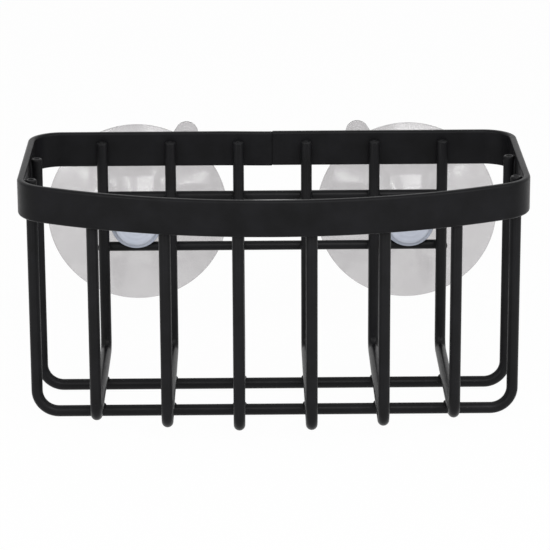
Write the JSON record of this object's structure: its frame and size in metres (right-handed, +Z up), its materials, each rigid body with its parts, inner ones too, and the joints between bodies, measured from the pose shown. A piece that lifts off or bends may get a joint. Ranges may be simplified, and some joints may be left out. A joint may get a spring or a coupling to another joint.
{
  "type": "shower caddy",
  "caption": "Small welded-wire shower basket with a flat bow-front rim, held to a tiled wall by suction cups that sit between rails on its back.",
  "frame": {"origin": "centre of the bounding box's footprint, level with the underside of the two cross wires", "axes": "+X to the right seen from the front, +Y from the front of the basket to the wall, +Z up"},
  "size_m": [0.229, 0.143, 0.1152],
  "materials": {
    "coated_band": "flat steel strip with a satin black powder coat",
    "coated_wire": "drawn steel wire with a satin black powder coat",
    "coated_weld": "small welds under the same powder coat",
    "soft_vinyl": "clear soft vinyl, moulded, faintly milky"
  },
  "bodies": {
    "basket": {"rim_band": "coated_band", "rib_1": "coated_wire", "rib_2": "coated_wire", "rib_3": "coated_wire", "rib_4": "coated_wire", "rib_5": "coated_wire", "rib_6": "coated_wire", "front_cross_wire": "coated_wire", "rear_cross_wire": "coated_wire", "upper_rail": "coated_wire", "lower_rail": "coated_wire", "rim_seam_weld": "coated_weld", "rib_rim_welds": "coated_weld", "cross_wire_rim_welds": "coated_weld", "base_welds": "coated_weld", "rail_welds": "coated_weld"},
    "left_cup": {"left_suction_cup": "soft_vinyl"},
    "right_cup": {"right_suction_cup": "soft_vinyl"}
  },
  "joints": [
    {"name": "left_cup_spin", "type": "hinge", "parent": "basket", "child": "left_cup", "pos_m": [-0.065, 0.05455, 0.0703], "axis": [0, 1, 0], "continuous": true},
    {"name": "right_cup_spin", "type": "hinge", "parent": "basket", "child": "right_cup", "pos_m": [0.065, 0.05455, 0.0703], "axis": [0, 1, 0], "continuous": true}
  ]
}
